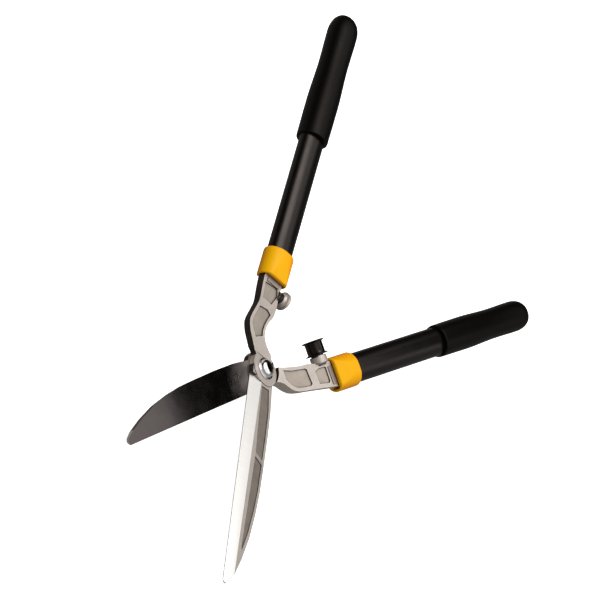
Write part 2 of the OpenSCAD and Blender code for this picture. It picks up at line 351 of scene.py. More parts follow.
@dataclass(frozen=True)
class ForgedSkin:
    """Blasted forging: satin metal with soft patches, lighter along its corners with wear and a painted
    highlight, and darker in inner corners with painted shade.

    Attributes:
        name: The material's name.
        light: Colour of the lighter patches.
        dark: Colour of the darker patches.
        wear_and_glint: Colour along corners, partly rubbed wear and partly a painted highlight.
        roughness: Middle roughness.
        metallic: How metallic it is; a skin of scale makes it less so.
        wear_glint_amount: How strongly the corners show that colour.
        shade_amount: How strongly inner corners darken, as painted shade.
        reach: How far the painted shade spreads from an inner corner, in metres.
        grain: Height of the blasted grain, in metres.
    """

    name: str
    light: Colour
    dark: Colour
    wear_and_glint: Colour
    roughness: float = 0.46
    metallic: float = 1.0
    wear_glint_amount: float = 0.8
    shade_amount: float = 0.9
    reach: float = 0.0014
    grain: float = 0.00003

    def make(self, groups: Groups) -> bpy.types.Material:
        """Builds the material.

        Args:
            groups: The shared shader groups.

        Returns:
            The finished material.
        """
        s = Shader(self.name, Metallic=self.metallic)
        patches = s.place(groups.mottle, Scale=70.0, Contrast=0.9).outputs["Mask"]
        # Corners lighter: partly wear, partly a painted highlight.
        edges = s.place(groups.edge_wear_and_highlight, Radius=0.0009, Amount=self.wear_glint_amount).outputs["Mask"]
        # Painted shade: darker in tight inner corners.
        hollow = s.place(groups.cavity, Reach=self.reach, Amount=self.shade_amount).outputs["Mask"]
        tone = s.blend(patches, rgba(self.dark), rgba(self.light))
        tone = s.blend(edges, tone, rgba(self.wear_and_glint))
        s.set("Base Color", s.blend(hollow, tone, rgba(CORNER_SHADE_BROWN)))
        s.set("Roughness", s.spread(patches, 0.0, 1.0, self.roughness + 0.06, self.roughness - 0.06))
        s.bump(s.place(groups.grain, Scale=2200.0, Coarse=0.8).outputs["Height"], 0.5, self.grain)
        return s.material


@dataclass(frozen=True)
class GroundSteel:
    """Steel with grinding strokes across the blade.

    Attributes:
        name: The material's name.
        base: Colour of the ground metal.
        angle_deg: Lean of the blade in its plane, which the strokes are square to.
        roughness: Middle roughness.
        depth: Height of the strokes, in metres.
    """

    name: str
    base: Colour
    angle_deg: float
    roughness: float = 0.4
    depth: float = 0.00001

    def make(self, groups: Groups) -> bpy.types.Material:
        """Builds the material.

        Args:
            groups: The shared shader groups.

        Returns:
            The finished material.
        """
        s = Shader(self.name, Metallic=1.0)
        strokes = s.place(groups.strokes, Angle=math.radians(-self.angle_deg), Pitch=2600.0, Length=24.0)
        patches = s.place(groups.mottle, Scale=30.0, Contrast=0.6).outputs["Mask"]
        dull = tuple(0.9 * c for c in self.base)
        s.set("Base Color", s.blend(strokes.outputs["Mask"], rgba(dull), rgba(self.base)))
        s.set("Roughness", s.spread(patches, 0.0, 1.0, self.roughness + 0.05, self.roughness - 0.05))
        s.bump(strokes.outputs["Height"], 0.4, self.depth)
        return s.material


@dataclass(frozen=True)
class PolishedSteel:
    """The sliding face: fine polish, duller round the hub, where it has been left as ground.

    Attributes:
        name: The material's name.
        base: Colour of the polished part.
        root: Colour of the dull part round the hub.
        angle_deg: Lean of the blade in its plane.
        roughness: Roughness of the polished part.
        dull_reach: How far the dull part reaches from the pivot, in metres.
    """

    name: str
    base: Colour
    root: Colour
    angle_deg: float
    roughness: float = 0.11
    dull_reach: float = 0.052

    def make(self, groups: Groups) -> bpy.types.Material:
        """Builds the material.

        Args:
            groups: The shared shader groups.

        Returns:
            The finished material.
        """
        s = Shader(self.name, Metallic=1.0)
        place = s.add("TexCoord").outputs["Object"]
        reach = s.add("VectorMath", {"operation": "LENGTH"}, _0=place).outputs["Value"]
        patches = s.place(groups.mottle, Scale=38.0, Contrast=0.7).outputs["Mask"]
        wander = s.maths("ADD", reach, s.maths("MULTIPLY", patches, 0.012))
        near = s.spread(wander, self.dull_reach + 0.018, self.dull_reach - 0.022, 0.0, 1.0)
        strokes = s.place(groups.strokes, Angle=math.radians(-self.angle_deg), Pitch=3000.0, Length=40.0)
        dull = tuple(0.86 * c for c in self.base)
        streaked = s.blend(strokes.outputs["Mask"], rgba(dull), rgba(self.base))
        s.set("Base Color", s.blend(near, streaked, rgba(self.root)))
        rough = s.spread(patches, 0.0, 1.0, self.roughness + 0.04, self.roughness - 0.03)
        s.set("Roughness", s.maths("ADD", rough, s.maths("MULTIPLY", near, 0.26)))
        s.bump(strokes.outputs["Height"], 0.15, 0.000005)
        return s.material


@dataclass(frozen=True)
class Plated:
    """Bright or zinc plating.

    Attributes:
        name: The material's name.
        base: Colour of the plating.
        roughness: Roughness of its brightest parts.
        patch: Roughness that duller patches add.
    """

    name: str
    base: Colour
    roughness: float
    patch: float = 0.05

    def make(self, groups: Groups) -> bpy.types.Material:
        """Builds the material.

        Args:
            groups: The shared shader groups.

        Returns:
            The finished material.
        """
        s = Shader(self.name, Metallic=1.0)
        patches = s.place(groups.mottle, Scale=160.0, Contrast=0.8).outputs["Mask"]
        # Edges lighter: partly wear, partly a painted highlight.
        edges = s.place(groups.edge_wear_and_highlight, Radius=0.0004, Amount=0.4).outputs["Mask"]
        # Painted shade: a little darker in tight inner corners.
        hollow = s.place(groups.cavity, Reach=0.0006, Amount=0.15).outputs["Mask"]
        dull = tuple(0.88 * c for c in self.base)
        tone = s.blend(edges, s.blend(patches, rgba(dull), rgba(self.base)), rgba(BRIGHT_EDGE))
        s.set("Base Color", s.blend(hollow, tone, rgba(CORNER_SHADE_BLACK)))
        s.set("Roughness", s.spread(patches, 0.0, 1.0, self.roughness + self.patch, self.roughness))
        s.bump(s.place(groups.grain, Scale=900.0, Coarse=1.0).outputs["Height"], 0.06, 0.000004)
        return s.material


@dataclass(frozen=True)
class Moulded:
    """Moulded plastic or rubber, or a powder coat, with its own grain.

    Attributes:
        name: The material's name.
        base: Its colour.
        deep: Colour of its darker patches.
        roughness: Middle roughness.
        specular: Strength of its plain reflections.
        grain_scale: Fineness of the grain.
        grain_depth: Height of the grain, in metres.
        wear_and_glint: Colour along corners, partly rubbed wear and partly a painted highlight, if they show.
        grazing_shade: Colour where the surface turns away, if it deepens there: painted shade.
        sheen: Tint of its reflections.
    """

    name: str
    base: Colour
    deep: Colour
    roughness: float
    specular: float = 0.5
    grain_scale: float = 1800.0
    grain_depth: float = 0.00002
    wear_and_glint: Colour | None = None
    grazing_shade: Colour | None = None
    sheen: Colour = (1.0, 0.86, 0.78)

    def make(self, groups: Groups) -> bpy.types.Material:
        """Builds the material.

        Args:
            groups: The shared shader groups.

        Returns:
            The finished material.
        """
        s = Shader(self.name, Specular_IOR_Level=self.specular, Specular_Tint=rgba(self.sheen))
        patches = s.place(groups.mottle, Scale=55.0, Contrast=0.7).outputs["Mask"]
        tone = s.blend(patches, rgba(self.deep), rgba(self.base))
        # Corners lighter: partly wear, partly a painted highlight.
        if self.wear_and_glint:
            edges = s.place(groups.edge_wear_and_highlight, Radius=0.0008, Amount=0.55).outputs["Mask"]
            tone = s.blend(edges, tone, rgba(self.wear_and_glint))
        # Painted shade: the colour deepens towards red where the surface turns away from view.
        if self.grazing_shade:
            rim = s.add("LayerWeight", None, Blend=0.5).outputs["Facing"]
            tone = s.blend(s.spread(rim, 0.3, 1.0, 0.0, 1.0), tone, rgba(self.grazing_shade))
        s.set("Base Color", tone)
        s.set("Roughness", s.spread(patches, 0.0, 1.0, self.roughness + 0.04, self.roughness - 0.04))
        height = s.place(groups.grain, Scale=self.grain_scale, Coarse=0.4).outputs["Height"]
        s.bump(height, 0.35, self.grain_depth)
        return s.material


class Finishes:
    """Every material of the shears, made once."""

    def __init__(self, groups: Groups) -> None:
        """Builds each finish.

        Args:
            groups: The shared shader groups.
        """
        self.forging = self._forging(groups)
        self.chrome = Plated("pivot_chrome", (0.92, 0.91, 0.9), 0.05, 0.03).make(groups)
        self.zinc = Plated("zinc_plate", (0.6, 0.6, 0.57), 0.3, 0.12).make(groups)
        # The collar's grazing colour is painted shade along the sides that turn away.
        self.collar = Moulded(
            "collar_plastic", base=(1.0, 0.5, 0.001), deep=(0.98, 0.47, 0.001), roughness=0.4, specular=0.16,
            grain_scale=1200.0, grain_depth=0.000015, grazing_shade=(0.95, 0.24, 0.0),
        ).make(groups)
        self.tube = Moulded(
            "tube_powder_coat", base=(0.0018, 0.0013, 0.0012), deep=(0.0012, 0.0009, 0.0009), roughness=0.3,
            specular=0.38, grain_scale=2600.0, grain_depth=0.000012, wear_and_glint=(0.03, 0.027, 0.025),
        ).make(groups)
        self.grip = Moulded(
            "grip_rubber", base=(0.0016, 0.0013, 0.0012), deep=(0.0011, 0.0009, 0.0008), roughness=0.42,
            specular=0.13, grain_scale=1900.0, grain_depth=0.00004,
        ).make(groups)
        self.bumper = Moulded(
            "bumper_rubber", base=(0.0015, 0.0013, 0.0012), deep=(0.001, 0.0009, 0.0009), roughness=0.12,
            specular=0.34, grain_scale=900.0, grain_depth=0.00001,
        ).make(groups)
        self.inner = Moulded("inner_plastic", (0.05, 0.05, 0.05), (0.035, 0.035, 0.035), 0.55).make(groups)

    @staticmethod
    def _forging(groups: Groups) -> dict[Half, list[bpy.types.Material]]:
        """Builds the forgings' finishes.

        Args:
            groups: The shared shader groups.

        Returns:
            For each half, its materials in the order of the ForgingFace values.
        """
        # The skin's pale corner colour is partly wear and partly a painted highlight.
        skin = ForgedSkin(
            "forged_satin", light=(0.61, 0.545, 0.49), dark=(0.52, 0.46, 0.41), wear_and_glint=(0.96, 0.9, 0.86),
            roughness=0.5, metallic=0.5, wear_glint_amount=0.8,
        ).make(groups)
        # Painted shade and painted dark reflection: a near-black finish for the walls that face dark
        # surroundings.
        wall = ForgedSkin(
            "wall_painted_shade", light=(0.055, 0.043, 0.036), dark=(0.02, 0.015, 0.013), wear_and_glint=(0.3, 0.26, 0.23),
            roughness=0.42, metallic=0.7, wear_glint_amount=0.7,
        ).make(groups)
        panel = ForgedSkin(
            "panel_floor", light=(0.34, 0.29, 0.25), dark=(0.24, 0.205, 0.175), wear_and_glint=(0.5, 0.45, 0.4),
            roughness=0.5, metallic=0.6, wear_glint_amount=0.3, reach=0.003,
        ).make(groups)
        pocket = ForgedSkin(
            "pocket_floor", light=(0.46, 0.395, 0.335), dark=(0.38, 0.325, 0.275), wear_and_glint=(0.6, 0.55, 0.5),
            roughness=0.5, metallic=0.6, wear_glint_amount=0.2, reach=0.003,
        ).make(groups)
        forging = {}
        for half in Half:
            lean = -BLADE_LEAN_DEG * half.value
            bevel = GroundSteel(f"{half.word}_ground_bevel", (0.71, 0.69, 0.66), lean).make(groups)
            sliding = PolishedSteel(
                f"{half.word}_sliding_face", base=(0.43, 0.37, 0.36), root=(0.47, 0.42, 0.39), angle_deg=lean
            ).make(groups)
            by_face = {
                ForgingFace.SKIN: skin, ForgingFace.WALL: wall, ForgingFace.BEVEL: bevel,
                ForgingFace.SLIDING: sliding, ForgingFace.PANEL: panel, ForgingFace.POCKET: pocket,
                # The cutting edge's narrow face gets the same painted shade.
                ForgingFace.EDGE: wall,
            }
            forging[half] = [by_face[kind] for kind in ForgingFace]
        return forging


# ---------------------------------------------------------------- mesh making


def new_piece(
    name: str, mesh: bpy.types.Mesh, body: str, materials: Sequence[bpy.types.Material]
) -> bpy.types.Object:
    """Puts a mesh in the scene as a piece of the shears.

    Args:
        name: The piece's name.
        mesh: Its finished mesh, in the row frame.
        body: The moving body that it rides on.
        materials: Its materials, in the order of the faces' indices.

    Returns:
        The new object.
    """
    piece = bpy.data.objects.new(name, mesh)
    bpy.context.scene.collection.objects.link(piece)
    kinds = [polygon.material_index for polygon in mesh.polygons]
    mesh.materials.clear()
    for material in materials:
        mesh.materials.append(material)
    mesh.polygons.foreach_set("material_index", kinds)
    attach(piece, body)
    log.info("%s: %d faces", name, len(mesh.polygons))
    return piece


def smooth(mesh: bpy.types.Mesh, angle_deg: float) -> None:
    """Shades a mesh smooth, but for edges sharper than an angle."""
    mesh.shade_smooth()
    mesh.set_sharp_from_angle(angle=math.radians(angle_deg))


def skin_rings(name: str, rings: Sequence[Ring], closed: bool, angle_deg: float = 40.0) -> bpy.types.Mesh:
    """Makes a closed mesh through rings of equal length.

    Args:
        name: The mesh's name.
        rings: The rings in order.
        closed: True to join the last ring to the first, False to cap both ends.
        angle_deg: Edges sharper than this stay sharp.

    Returns:
        The mesh, with its faces looking outwards.
    """
    made = bmesh.new()
    rows = [[made.verts.new(p) for p in ring] for ring in rings]
    count = len(rings[0])
    steps = len(rows) if closed else len(rows) - 1
    for i in range(steps):
        a, b = rows[i], rows[(i + 1) % len(rows)]
        for j in range(count):
            k = (j + 1) % count
            made.faces.new((a[j], a[k], b[k], b[j]))
    if not closed:
        for row in (rows[0], rows[-1]):
            middle = made.verts.new(sum((v.co for v in row), Vector()) / count)
            for j in range(count):
                made.faces.new((row[j], row[(j + 1) % count], middle))
    bmesh.ops.recalc_face_normals(made, faces=made.faces)
    mesh = bpy.data.meshes.new(name)
    made.to_mesh(mesh)
    made.free()
    smooth(mesh, angle_deg)
    return mesh


def rounded(profile: Sequence[Pair], radius: float, steps: int = 4) -> list[Pair]:
    """Rounds the corners of an open profile.

    Args:
        profile: The points.
        radius: How far back from a corner its rounding starts, at most.
        steps: Segments in each corner.

    Returns:
        The profile with each inner corner replaced by a short curve.
    """
    points = [Vector(p) for p in profile]
    out = [tuple(points[0])]
    for before, here, after in zip(points, points[1:], points[2:]):
        back, ahead = before - here, after - here
        reach = min(radius, back.length * 0.45, ahead.length * 0.45)
        a, b = here + back.normalized() * reach, here + ahead.normalized() * reach
        for i in range(steps + 1):
            t = i / steps
            out.append(tuple(a.lerp(here, t).lerp(here.lerp(b, t), t)))
    out.append(tuple(points[-1]))
    return out


def curve_through(points: Sequence[Pair], steps: int) -> list[Pair]:
    """Draws a smooth curve through points.

    Args:
        points: The points, in order.
        steps: Segments between each pair of points.

    Returns:
        The points of the curve.
    """
    out: list[Pair] = []
    padded = [points[0], *points, points[-1]]
    for i in range(1, len(padded) - 2):
        p0, p1, p2, p3 = (Vector(p) for p in padded[i - 1 : i + 3])
        for k in range(steps):
            t = k / steps
            q = 0.5 * ((2 * p1) + (p2 - p0) * t + (2 * p0 - 5 * p1 + 4 * p2 - p3) * t * t
                       + (3 * p1 - p0 - 3 * p2 + p3) * t ** 3)
            out.append(tuple(q))
    out.append(tuple(points[-1]))
    return out


@dataclass(frozen=True)
class HandleLine:
    """The line that a handle runs along, and the directions square to it.

    Attributes:
        half: Which half it belongs to.
        base_x: Distance of its start from the pivot's axis, sideways.
        base_z: Height of its start over the plane where the blades slide.
        lean_deg: Its angle from +Y, outwards.
        rise_deg: Its angle from the blades' plane, towards the front.
    """

    half: Half
    base_x: float = 28.4 * MM
    base_z: float = 9.55 * MM
    lean_deg: float = 25.3
    rise_deg: float = 13.3

    def _sided(self, x: float, y: float, z: float) -> Vector:
        """A direction given for the half at -X, turned for this half."""
        return Vector((-x * self.half.value, y, z))

    @property
    def along(self) -> Vector:
        """Direction from the pivot end to the grip."""
        lean, rise = math.radians(self.lean_deg), math.radians(self.rise_deg)
        return self._sided(-math.sin(lean) * math.cos(rise), math.cos(lean) * math.cos(rise), math.sin(rise))

    @property
    def inward(self) -> Vector:
        """Direction towards the other handle, in the blades' plane."""
        lean = math.radians(self.lean_deg)
        return self._sided(math.cos(lean), math.sin(lean), 0.0)

    @property
    def up(self) -> Vector:
        """Direction square to both, towards the front."""
        lean, rise = math.radians(self.lean_deg), math.radians(self.rise_deg)
        return self._sided(math.sin(lean) * math.sin(rise), -math.cos(lean) * math.sin(rise), math.cos(rise))

    def at(self, s: float, inward: float = 0.0, up: float = 0.0) -> Vector:
        """A point at distance s along the handle, moved inward and up, all in metres."""
        base = self._sided(-self.base_x, 0.0, self.base_z)
        return base + self.along * s + self.inward * inward + self.up * up


@dataclass
class Lathe:
    """A turned piece.

    Attributes:
        centre: A point on its axis.
        axis: The axis's direction.
        profile: (radius, height) pairs, in millimetres, from one end of the axis to the other.
        segments: Steps round the axis.
    """

    centre: Vector
    axis: Vector
    profile: Sequence[Pair]
    segments: int = 96

    def mesh(self, name: str, closed: bool = False, angle_deg: float = 40.0) -> bpy.types.Mesh:
        """Turns the profile.

        Args:
            name: The mesh's name.
            closed: True where the profile closes on itself and makes a ring.
            angle_deg: Edges sharper than this stay sharp.

        Returns:
            The mesh, in the row frame.
        """
        turn = self.axis.to_track_quat("Z", "Y").to_matrix()
        rings = []
        for radius, height in self.profile:
            ring = []
            for i in range(self.segments):
                a = 2 * math.pi * i / self.segments
                local = Vector((radius * math.cos(a), radius * math.sin(a), height)) * MM
                ring.append(self.centre + turn @ local)
            rings.append(ring)
        return skin_rings(name, rings, closed, angle_deg)


def oval_ring(
    line: HandleLine, s: float, half_w: float, half_d: float, power: float = 2.0, count: int = 96
) -> Ring:
    """Draws an oval round a handle's line.

    Args:
        line: The handle's line.
        s: Place along it, in millimetres.
        half_w: Half its width, in millimetres.
        half_d: Half its depth, in millimetres.
        power: 2 for an ellipse, more to square it off.
        count: Number of points.

    Returns:
        The oval's points, in metres.
    """
    ring = []
    for i in range(count):
        a = 2 * math.pi * i / count
        c, t = math.cos(a), math.sin(a)
        x = math.copysign(abs(c) ** (2 / power), c) * half_w
        y = math.copysign(abs(t) ** (2 / power), t) * half_d
        ring.append(line.at(s * MM, x * MM, y * MM))
    return ring


# ---------------------------------------------------------------- sub-assemblies


@dataclass
class Forging:
    """One half's forging: blade, hub, shank and tang, with softened corners.

    Attributes:
        half: Which half it belongs to.
        corner: Rounding of its corners, in metres.
        corner_angle_deg: Only edges sharper than this are rounded.
        bevel_slope: Rise of the ground bevel over its width.
        hub_r: Faces nearer the pivot's axis than this belong to the hub, in millimetres.
        shoulder_r: Radius of the rear half's shoulder, in millimetres.
        blade_root: Y where the blade starts, in millimetres.
        tip_start: Y where the rounded tip starts, in millimetres.
        ridge_x: X within which the bevel ends, in millimetres.
        hub_t: Thickness of the hub, in millimetres.
        pocket_start: Distance along the shank where its pockets start, in millimetres.
        ramp: Rise of the shank's face over its length.
    """

    half: Half
    corner: float = 0.0006
    corner_angle_deg: float = 24.0
    bevel_slope: float = 4.6 / 13.0
    hub_r: float = 18.3
    shoulder_r: float = 19.5
    blade_root: float = -12.0
    tip_start: float = -240.0
    ridge_x: float = 2.0
    hub_t: float = 6.0
    pocket_start: float = 9.0
    ramp: float = 0.343

    def _blade_frame(self) -> Matrix:
        """Turns the row frame into the blade's own: edge along Y at -X, sliding face down."""
        turn = Matrix.Rotation(math.radians(-BLADE_LEAN_DEG), 3, "Z")
        return turn if self.half is Half.FRONT else turn @ Matrix.Rotation(math.pi, 3, "Y")

    def _blade_face_kind(self, place: Vector, facing: Vector) -> ForgingFace | None:
        """Says which finish a face of the blade gets.

        Args:
            place: The face's middle in the blade's own frame, in millimetres.
            facing: Its normal in that frame.

        Returns:
            The finish, or None where the blade has no finish of its own.
        """
        bevel = Vector((-self.bevel_slope, 0.0, 1.0)).normalized()
        if place.x < self.ridge_x and facing.dot(bevel) > 0.995:
            return ForgingFace.BEVEL
        if facing.x < -0.9 and place.z < 1.0:
            return ForgingFace.EDGE
        if place.y < self.tip_start and abs(facing.z) < 0.5:
            return ForgingFace.BEVEL
        full_height = 5.4 + (place.y + 20.0) / 230.0
        if place.y < self.blade_root - 4.0 and facing.z > 0.99 and place.z < full_height - 0.35:
            return ForgingFace.PANEL
        return None

    def _in_pocket(self, centre: Vector, normal: Vector) -> bool:
        """Says whether a face is the floor of one of the shank's pockets.

        Args:
            centre: The face's middle in the row frame, in metres.
            normal: Its normal.

        Returns:
            True for a pocket's floor.
        """
        line = HandleLine(self.half)
        lean = Vector((line.along.x, line.along.y, 0.0)).normalized()
        out = (centre - line.at(0.0)).dot(lean) / MM
        shank_face = self.hub_t + self.ramp * (out + 0.5)
        return normal.z > 0.85 and out > self.pocket_start and centre.z / MM < shank_face - 0.6

    def _face_kind(self, face: bmesh.types.BMFace, to_blade: Matrix) -> ForgingFace:
        """Says which finish a face gets, from where it lies and looks.

        Args:
            face: The face, in the row frame.
            to_blade: Turns the row frame into the blade's own.

        Returns:
            The finish.
        """
        centre, normal = face.calc_center_median(), face.normal
        place, facing = to_blade @ centre / MM, to_blade @ normal
        if facing.z < -0.99 and place.z < 0.4:
            return ForgingFace.SLIDING
        if place.y < self.blade_root:
            kind = self._blade_face_kind(place, facing)
            if kind is not None:
                return kind
        if self._in_pocket(centre, normal):
            return ForgingFace.POCKET
        # Upright faces that are low, lie beyond the hub (on the rear half only towards the tips) or ring the
        # rear shoulder get the near-black wall finish, which is painted shade.
        heights = [v.co.z for v in face.verts]
        radius = math.hypot(centre.x, centre.y) / MM
        front = self.half is Half.FRONT
        shallow = max(heights) - min(heights) < 1.9 * MM
        shoulder = not front and abs(radius - self.shoulder_r) < 0.4 and centre.z > 0.0
        dark_side = radius >= self.hub_r and (front or centre.y < 0.0)
        upright = abs(normal.z) < 0.5
        return ForgingFace.WALL if upright and (shallow or dark_side or shoulder) else ForgingFace.SKIN

    def _sorted_copy(self) -> bpy.types.Mesh:
        """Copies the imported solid's shape, joins its faces and sorts them by finish.

        Returns:
            The copy, its corners still sharp.
        """
        made = bmesh.new()
        made.from_mesh(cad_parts[f"{self.half.word}_blade"].data)
        bmesh.ops.remove_doubles(made, verts=made.verts, dist=0.00001)
        bmesh.ops.dissolve_limit(
            made, angle_limit=math.radians(0.6), verts=made.verts, edges=made.edges,
            use_dissolve_boundaries=False,
        )
        to_blade = self._blade_frame()
        for face in made.faces:
            face.material_index = self._face_kind(face, to_blade).value
            face.smooth = True
        for edge in made.edges:
            kinds = {face.material_index for face in edge.link_faces}
            if ForgingFace.BEVEL.value in kinds and len(kinds) > 1:
                edge.smooth = False
        mesh = bpy.data.meshes.new("rough_forging")
        made.to_mesh(mesh)
        made.free()
        for _ in ForgingFace:
            mesh.materials.append(None)
        return mesh

    def build(self) -> bpy.types.Mesh:
        """Makes the forging with softened corners and evenly shaded faces.

        Returns:
            The mesh, its faces' indices following ForgingFace.
        """
        holder = bpy.data.objects.new("rough_forging", self._sorted_copy())
        bpy.context.scene.collection.objects.link(holder)
        corners = holder.modifiers.new("corners", "BEVEL")
        corners.width = self.corner
        corners.segments = 3
        corners.limit_method = "ANGLE"
        corners.angle_limit = math.radians(self.corner_angle_deg)
        corners.use_clamp_overlap = True
        corners.miter_outer = "MITER_ARC"
        shading = holder.modifiers.new("even_shading", "WEIGHTED_NORMAL")
        shading.mode = "FACE_AREA"
        shading.weight = 90
        shading.keep_sharp = True
        graph = bpy.context.evaluated_depsgraph_get()
        mesh = bpy.data.meshes.new_from_object(holder.evaluated_get(graph))
        bpy.data.objects.remove(holder)
        return mesh

    def dress(self, finishes: Finishes) -> None:
        """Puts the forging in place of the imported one.

        Args:
            finishes: The shears' materials.
        """
        word = self.half.word
        piece = new_piece(f"{word}_forging", self.build(), self.half.body, finishes.forging[self.half])
        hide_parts(f"{word}_blade")


@dataclass
class Handle:
    """Tube, collar and grip of one half, in millimetres along the handle's line.

    Attributes:
        half: Which half they belong to.
        tube_start: Near end of the tube, inside the collar.
        tube_end: Far end of the tube, inside the grip.
        tube_w: Width of the tube.
        tube_d: Depth of the tube.
        wall: Thickness of the tube's wall.
        collar_start: Near end of the collar.
        collar_len: Length of the collar.
        collar_w: Width of the collar.
        collar_d: Depth of the collar.
        near_rim: Rounding of the collar's near rim.
        far_rim: Length and depth of the rounding of its far rim.
        bore: Half the width and depth of the collar's oval bore.
        slot: Half the width and depth of the slot that the shank goes through.
        slot_mouth: How much wider the slot is at its mouth.
        slot_squareness: Power of the slot's outline.
        flat_height: Half the depth at which the collar's flats cut it, where they don't tilt.
        flat_run: Length of the flats' tilted part.
        flat_tilt_deg: Tilt of the flats towards the shank.
        flat_blend: Softness of the flats' borders.
        grip_start: Near end of the grip.
        grip_len: Length of the grip.
        grip_oval: How much wider than deep the grip is.
        grip_squareness: Power of the grip's outline.
        grip_profile: Half the grip's depth at distances from its near end.
        line: The handle's line.
    """

    half: Half
    tube_start: float = 80.0
    tube_end: float = 369.6
    tube_w: float = 30.0
    tube_d: float = 20.7
    wall: float = 1.6
    collar_start: float = 70.8
    collar_len: float = 30.5
    collar_w: float = 35.0
    collar_d: float = 27.3
    near_rim: float = 1.5
    far_rim: Pair = (2.2, 2.0)
    bore: Pair = (15.1, 10.45)
    slot: Pair = (15.2, 5.6)
    slot_mouth: float = 0.3
    slot_squareness: float = 7.0
    flat_height: float = 13.1
    flat_run: float = 17.0
    flat_tilt_deg: float = 12.0
    flat_blend: float = 0.35
    grip_start: float = 234.6
    grip_len: float = 151.0
    grip_oval: float = 3.4
    grip_squareness: float = 2.08
    grip_profile: tuple[Pair, ...] = (
        (2.0, 15.3), (15.0, 15.45), (36.0, 15.6), (52.0, 15.55), (66.0, 15.1), (79.0, 14.6), (91.0, 14.35),
        (106.0, 14.5), (116.0, 14.7), (125.0, 14.8), (132.0, 14.7), (137.6, 13.9), (142.8, 12.1),
        (147.0, 9.2), (149.6, 5.8), (150.7, 3.0),
    )
    line: HandleLine = field(init=False)

    def __post_init__(self) -> None:
        """Works out the handle's line."""
        self.line = HandleLine(self.half)

    def tube(self) -> bpy.types.Mesh:
        """Makes the oval tube, hollow, with square-cut ends.

        Returns:
            The tube's mesh.
        """
        out_w, out_d = self.tube_w / 2, self.tube_d / 2
        in_w, in_d = out_w - self.wall, out_d - self.wall
        stations = (self.tube_start, self.tube_start + 40, self.tube_end - 60, self.tube_end)
        outside = [oval_ring(self.line, s, out_w, out_d) for s in stations]
        inside = [oval_ring(self.line, s, in_w, in_d) for s in (self.tube_end, self.tube_start)]
        return skin_rings("tube", [*outside, *inside], True)

    def _collar_ring(self, s: float, inset: float) -> Ring:
        """Draws one ring of the collar's outside, flattened front and back near the shank.

        Args:
            s: Place along the handle's line, in millimetres.
            inset: How far the ring lies inside the collar's full outline, in millimetres.

        Returns:
            The ring's points, in metres.
        """
        tilted = max(0.0, self.collar_start + self.flat_run - s)
        crown = self.flat_height - tilted * math.tan(math.radians(self.flat_tilt_deg)) - inset
        ring = []
        for i in range(COLLAR_POINTS):
            a = 2 * math.pi * i / COLLAR_POINTS
            x = (self.collar_w / 2 - inset) * math.cos(a)
            y = (self.collar_d / 2 - inset) * math.sin(a)
            over = (abs(y) - crown) / self.flat_blend
            if over > -6:
                cut = self.flat_blend * math.log1p(math.exp(min(over, 30.0)))
                y = math.copysign(abs(y) - cut, y)
            ring.append(self.line.at(s * MM, x * MM, y * MM))
        return ring

    def _hollow_ring(self, s: float, half_size: Pair, power: float = 2.0, wider: float = 0.0) -> Ring:
        """Draws one ring of the collar's hollow.

        Args:
            s: Place along the handle's line, in millimetres.
            half_size: Half its width and depth, in millimetres.
            power: 2 for an ellipse, more to square it off.
            wider: Added to both half sizes.

        Returns:
            The ring's points, in metres.
        """
        half_w, half_d = half_size
        return oval_ring(self.line, s, half_w + wider, half_d + wider, power, COLLAR_POINTS)

    def collar(self) -> bpy.types.Mesh:
        """Makes the collar: rounded rims, two flats, an oval bore and a slot for the shank.

        Returns:
            The collar's mesh.
        """
        start, end = self.collar_start, self.collar_start + self.collar_len
        rings = []
        for k in range(6):
            turn = math.pi / 2 * (1 - k / 5)
            back = self.near_rim * (1 - math.sin(turn))
            rings.append(self._collar_ring(start + back, self.near_rim * (1 - math.cos(turn))))
        for out in (0.6, 2.0, 4.0, 6.0, 8.0, 10.0, 12.0, 13.5, 15.0, 16.5, 18.5, 20.5, 23.0, 25.0):
            rings.append(self._collar_ring(start + self.near_rim + out, 0.0))
        rim_len, rim_depth = self.far_rim
        for k in range(7):
            turn = math.pi / 2 * k / 6
            back = rim_len * (1 - math.sin(turn))
            rings.append(self._collar_ring(end - back, rim_depth * (1 - math.cos(turn))))
        step = self.tube_start - 0.5
        rings += [self._hollow_ring(s, self.bore) for s in (end, step)]
        square = self.slot_squareness
        rings += [self._hollow_ring(s, self.slot, square) for s in (step, start + 0.2)]
        rings.append(self._hollow_ring(start, self.slot, square, self.slot_mouth))
        return skin_rings("collar", rings, True, 50.0)

    def _grip_ring(self, s: float, r: float) -> Ring:
        """Draws one ring of the grip, a little wider than deep.

        Args:
            s: Distance from the grip's near end, in millimetres.
            r: Half its depth, in millimetres.

        Returns:
            The ring's points, in metres.
        """
        depth = r - SHY
        width = depth + self.grip_oval / 2 * min(1.0, r / 6.0)
        return oval_ring(self.line, self.grip_start + s, width, depth, self.grip_squareness)

    def grip(self) -> bpy.types.Mesh:
        """Makes the grip: an oval sleeve with a lip, a waist and a round closed end.

        Returns:
            The grip's mesh.
        """
        lip = ((0.0, 12.9), (0.0, 14.3), (0.15, 14.75), (0.6, 15.1), (1.2, 15.24))
        profile = (*lip, *curve_through(self.grip_profile, 5), (self.grip_len - 0.1, 1.4))
        rings = [self._grip_ring(s, r) for s, r in profile]
        rings.append(oval_ring(self.line, self.grip_start + self.grip_len, 0.3, 0.3))
        return skin_rings("grip", rings, False, 50.0)

    def dress(self, finishes: Finishes) -> None:
        """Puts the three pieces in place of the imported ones.

        Args:
            finishes: The shears' materials.
        """
        made = (
            ("tube", self.tube(), finishes.tube, "black_tube"),
            ("collar", self.collar(), finishes.collar, "collar_plastic"),
            ("grip", self.grip(), finishes.grip, "grip_rubber"),
        )
        for word, mesh, material, slot in made:
            piece = new_piece(f"{self.half.word}_{word}_shell", mesh, self.half.body, [material])
            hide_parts(f"{self.half.word}_{word}")


